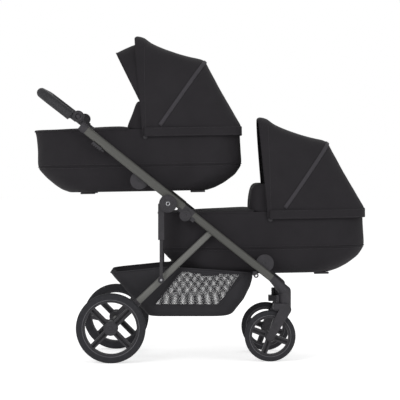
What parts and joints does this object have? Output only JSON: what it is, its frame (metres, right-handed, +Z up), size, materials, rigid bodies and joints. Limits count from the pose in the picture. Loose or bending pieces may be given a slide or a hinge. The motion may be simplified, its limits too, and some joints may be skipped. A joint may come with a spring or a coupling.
{
  "type": "twin pram",
  "caption": "Folding pram frame on four wheels with a carrycot above and another below, each with a bowed hood, and a shopping basket under them.",
  "frame": {"origin": "on the floor, under the middle of the pram's box", "axes": "+X to the front, +Z up, +Y to the left"},
  "size_m": [1.3688, 0.628, 1.3273],
  "materials": {
    "frame_tube": "satin anodised grey",
    "black_plastic": "fine moulded grain",
    "steel": "brushed",
    "leatherette": "fine leather grain",
    "tyre": "matt rubber",
    "cloth": "fine woven polyester",
    "mattress": "quilted cotton",
    "net": "knitted net and polyester"
  },
  "bodies": {
    "front_frame": {"front_tube_left": "frame_tube", "front_tube_right": "frame_tube", "front_cross_tube": "frame_tube", "front_elbow_left": "black_plastic", "front_elbow_right": "black_plastic", "fold_hubs": "black_plastic", "lower_sockets": "black_plastic", "basket": "net"},
    "upper_frame": {"handle_tube_left": "frame_tube", "handle_tube_right": "frame_tube", "fold_knuckles": "black_plastic", "strut_hubs": "black_plastic", "hub_rivets": "steel", "handle_collars": "black_plastic", "upper_sockets": "black_plastic"},
    "fold_release": {"fold_sliders": "black_plastic"},
    "handlebar": {"handlebar_core": "black_plastic", "handlebar_grip": "leatherette"},
    "tilt_button_left": {"tilt_button_left": "black_plastic"},
    "tilt_button_right": {"tilt_button_right": "black_plastic"},
    "rear_legs": {"rear_leg_left": "frame_tube", "rear_leg_right": "frame_tube", "rear_axle": "frame_tube", "axle_housings": "black_plastic"},
    "brake": {"brake_pedal": "black_plastic"},
    "struts": {"strut_sleeves": "black_plastic", "strut_rods": "black_plastic"},
    "upper_adaptors": {"upper_adaptors": "black_plastic"},
    "lower_adaptors": {"lower_adaptors": "black_plastic"},
    "rear_wheel_left": {"rear_tyre_left": "tyre", "rear_rim_left": "black_plastic"},
    "fork_left": {"fork_left": "black_plastic", "front_axle_left": "steel"},
    "front_wheel_left": {"front_tyre_left": "tyre", "front_rim_left": "black_plastic"},
    "swivel_lock_left": {"swivel_lock_left": "black_plastic"},
    "rear_wheel_right": {"rear_tyre_right": "tyre", "rear_rim_right": "black_plastic"},
    "fork_right": {"fork_right": "black_plastic", "front_axle_right": "steel"},
    "front_wheel_right": {"front_tyre_right": "tyre", "front_rim_right": "black_plastic"},
    "swivel_lock_right": {"swivel_lock_right": "black_plastic"},
    "upper_cot": {"upper_shell": "cloth", "upper_mattress": "mattress", "upper_apron": "cloth"},
    "upper_wind_flap": {"upper_wind_flap": "cloth"},
    "upper_mid_bow": {"upper_mid_bow": "black_plastic", "upper_hood_cover": "cloth"},
    "upper_front_bow": {"upper_front_bow": "black_plastic"},
    "lower_cot": {"lower_shell": "cloth", "lower_mattress": "mattress", "lower_apron": "cloth"},
    "lower_wind_flap": {"lower_wind_flap": "cloth"},
    "lower_mid_bow": {"lower_mid_bow": "black_plastic", "lower_hood_cover": "cloth"},
    "lower_front_bow": {"lower_front_bow": "black_plastic"},
    "upper_visor": {"upper_visor": "cloth"}
  },
  "joints": [
    {"name": "frame_fold", "type": "hinge", "parent": "front_frame", "child": "upper_frame", "pos_m": [-0.05906, 0, 0.59219], "axis": [0, -1, 0], "range_deg": [0, 120]},
    {"name": "rear_leg_fold", "type": "hinge", "parent": "front_frame", "child": "rear_legs", "pos_m": [0.04503, 0, 0.52382], "axis": [0, -1, 0], "range_deg": [0, 60.16], "deforming": ["basket"]},
    {"name": "strut_fold", "type": "hinge", "parent": "upper_frame", "child": "struts", "pos_m": [-0.12876, 0, 0.63952], "axis": [0, -1, 0], "range_deg": [-81.07, 0]},
    {"name": "fold_release_slide", "type": "slide", "parent": "upper_frame", "child": "fold_release", "axis": [-0.7815, 0, 0.6239], "range_m": [0, 0.012], "stiffness_N_per_m": 400},
    {"name": "handlebar_tilt", "type": "hinge", "parent": "upper_frame", "child": "handlebar", "pos_m": [-0.48973, 0, 0.99038], "axis": [0, 1, 0], "range_deg": [-20, 40]},
    {"name": "tilt_button_left_press", "type": "slide", "parent": "handlebar", "child": "tilt_button_left", "axis": [0, -1, 0], "range_m": [0, 0.003], "stiffness_N_per_m": 500},
    {"name": "tilt_button_right_press", "type": "slide", "parent": "handlebar", "child": "tilt_button_right", "axis": [0, 1, 0], "range_m": [0, 0.003], "stiffness_N_per_m": 500},
    {"name": "brake_press", "type": "hinge", "parent": "rear_legs", "child": "brake", "pos_m": [-0.358, 0, 0.14], "axis": [0, -1, 0], "range_deg": [0, 20]},
    {"name": "upper_adaptor_lift", "type": "slide", "parent": "front_frame", "child": "upper_adaptors", "axis": [0.3843, 0, 0.9232], "range_m": [0, 0.54]},
    {"name": "lower_adaptor_lift", "type": "slide", "parent": "front_frame", "child": "lower_adaptors", "axis": [0.3843, 0, 0.9232], "range_m": [0, 0.54]},
    {"name": "rear_wheel_left_spin", "type": "hinge", "parent": "rear_legs", "child": "rear_wheel_left", "pos_m": [-0.358, 0.292, 0.14], "axis": [0, 1, 0], "continuous": true},
    {"name": "fork_left_swivel", "type": "hinge", "parent": "front_frame", "child": "fork_left", "pos_m": [0.34449, 0.226, 0.236], "axis": [0, 0, 1], "continuous": true},
    {"name": "front_wheel_left_spin", "type": "hinge", "parent": "fork_left", "child": "front_wheel_left", "pos_m": [0.28399, 0.226, 0.103], "axis": [0, 1, 0], "continuous": true},
    {"name": "swivel_lock_left_slide", "type": "slide", "parent": "front_frame", "child": "swivel_lock_left", "axis": [0, 0, 1], "range_m": [0, 0.006]},
    {"name": "rear_wheel_right_spin", "type": "hinge", "parent": "rear_legs", "child": "rear_wheel_right", "pos_m": [-0.358, -0.292, 0.14], "axis": [0, 1, 0], "continuous": true},
    {"name": "fork_right_swivel", "type": "hinge", "parent": "front_frame", "child": "fork_right", "pos_m": [0.34449, -0.226, 0.236], "axis": [0, 0, 1], "continuous": true},
    {"name": "front_wheel_right_spin", "type": "hinge", "parent": "fork_right", "child": "front_wheel_right", "pos_m": [0.28399, -0.226, 0.103], "axis": [0, 1, 0], "continuous": true},
    {"name": "swivel_lock_right_slide", "type": "slide", "parent": "front_frame", "child": "swivel_lock_right", "axis": [0, 0, 1], "range_m": [0, 0.006]},
    {"name": "upper_cot_lift", "type": "slide", "parent": "upper_adaptors", "child": "upper_cot", "axis": [0.3843, 0, 0.9232], "range_m": [0, 0.05]},
    {"name": "upper_hood_fold", "type": "hinge", "parent": "upper_cot", "child": "upper_mid_bow", "pos_m": [-0.22123, 0, 0.90937], "axis": [0, 1, 0], "range_deg": [0, 33], "deforming": ["upper_hood_cover"]},
    {"name": "upper_hood_front_fold", "type": "hinge", "parent": "upper_mid_bow", "child": "upper_front_bow", "pos_m": [-0.22123, 0, 0.90937], "axis": [0, 1, 0], "range_deg": [0, 33.5]},
    {"name": "upper_wind_flap_fold", "type": "hinge", "parent": "upper_cot", "child": "upper_wind_flap", "pos_m": [-0.29462, 0, 0.9557], "axis": [0, -1, 0], "range_deg": [0, 60]},
    {"name": "lower_cot_lift", "type": "slide", "parent": "lower_adaptors", "child": "lower_cot", "axis": [0.3843, 0, 0.9232], "range_m": [0, 0.05]},
    {"name": "lower_hood_fold", "type": "hinge", "parent": "lower_cot", "child": "lower_mid_bow", "pos_m": [0.28597, 0, 0.57422], "axis": [0, 1, 0], "range_deg": [0, 33], "deforming": ["lower_hood_cover"]},
    {"name": "lower_hood_front_fold", "type": "hinge", "parent": "lower_mid_bow", "child": "lower_front_bow", "pos_m": [0.28597, 0, 0.57422], "axis": [0, 1, 0], "range_deg": [0, 33.5]},
    {"name": "lower_wind_flap_fold", "type": "hinge", "parent": "lower_cot", "child": "lower_wind_flap", "pos_m": [0.21258, 0, 0.62054], "axis": [0, -1, 0], "range_deg": [0, 70]},
    {"name": "upper_visor_fold", "type": "hinge", "parent": "upper_front_bow", "child": "upper_visor", "pos_m": [-0.2336, 0, 1.06317], "axis": [0, 1, 0], "range_deg": [0, 16], "deforming": ["upper_visor"]}
  ],
  "couplings": [
    {"joint": "rear_leg_fold", "follows": "frame_fold", "ratio": 0.49718},
    {"joint": "strut_fold", "follows": "frame_fold", "ratio": -0.6714},
    {"joint": "upper_adaptor_lift", "follows": "frame_fold", "m_per_rad": 0.25},
    {"joint": "lower_adaptor_lift", "follows": "frame_fold", "m_per_rad": 0.25},
    {"joint": "upper_hood_front_fold", "follows": "upper_hood_fold", "ratio": 1},
    {"joint": "lower_hood_front_fold", "follows": "lower_hood_fold", "ratio": 1}
  ]
}
